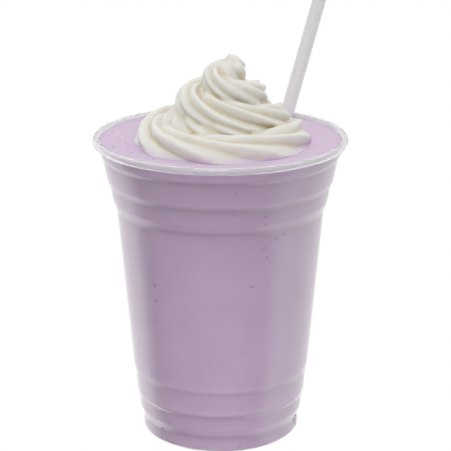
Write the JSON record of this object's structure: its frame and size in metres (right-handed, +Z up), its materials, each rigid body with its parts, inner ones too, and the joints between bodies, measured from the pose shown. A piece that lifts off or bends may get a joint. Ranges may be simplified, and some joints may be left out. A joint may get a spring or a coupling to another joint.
{
  "type": "taro frappe in a clear cup with whipped cream and a straw",
  "caption": "Blended taro drink in a clear tapered cold cup with a rolled rim, topped with a piped swirl of whipped cream and a leaning straw.",
  "frame": {"origin": "centre of the cup's foot, on the surface that the cup stands on", "axes": "+Z up along the cup's axis; the front of the swirl faces -Y; the straw leans up and back towards +X and +Y"},
  "size_m": [0.098, 0.1026, 0.1871],
  "materials": {
    "clear_cup": "clear thin moulded plastic, glossy",
    "taro_drink": "smooth pale lilac blended drink, soft satin, with a few tiny bubbles",
    "cream": "fluted whipped cream, soft satin, slightly translucent",
    "straw": "translucent whitish plastic tube"
  },
  "bodies": {
    "root": {"cup": "clear_cup", "frappe": "taro_drink", "whipped_cream": "cream", "straw": "straw"}
  },
  "joints": []
}
